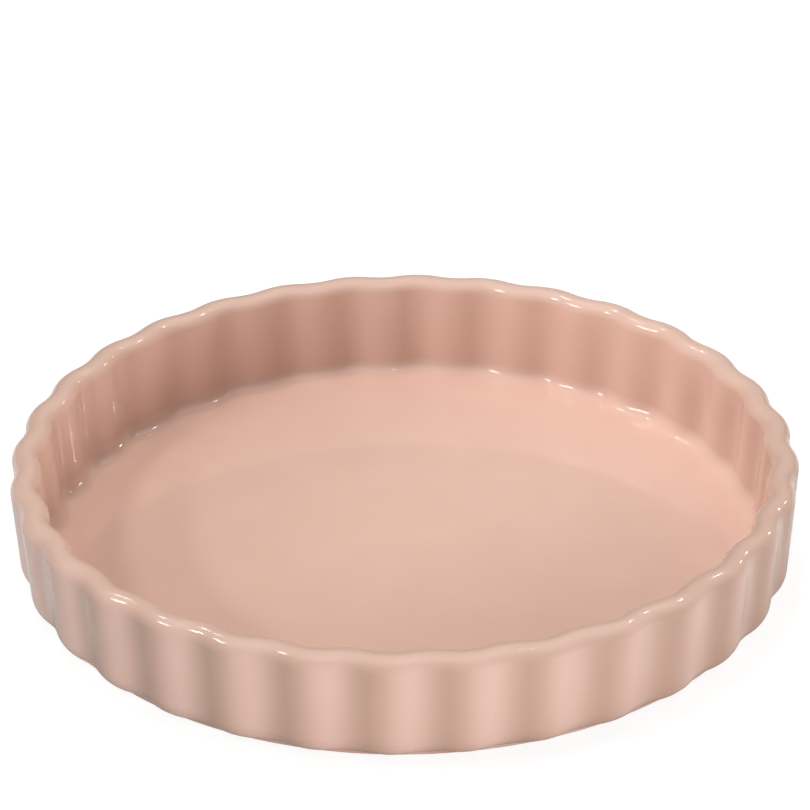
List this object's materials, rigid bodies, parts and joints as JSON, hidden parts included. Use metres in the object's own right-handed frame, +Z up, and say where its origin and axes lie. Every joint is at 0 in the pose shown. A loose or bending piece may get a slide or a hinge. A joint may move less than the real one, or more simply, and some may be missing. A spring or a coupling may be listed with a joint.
{
  "type": "fluted quiche dish",
  "caption": "Round ceramic quiche dish with a fluted wall, a smooth rounded rim, a flat floor and a bare foot ring, glazed pale pink.",
  "frame": {"origin": "middle of the foot ring's resting plane", "axes": "+Z up along the dish's axis, through its open mouth; +X through the crest of one lobe"},
  "size_m": [0.28, 0.28, 0.042],
  "materials": {
    "bare_stoneware": "matte",
    "pink_glaze": "gloss"
  },
  "bodies": {
    "root": {"stoneware_body": "bare_stoneware", "glaze_coat": "pink_glaze", "underside_glaze": "pink_glaze"}
  },
  "joints": []
}
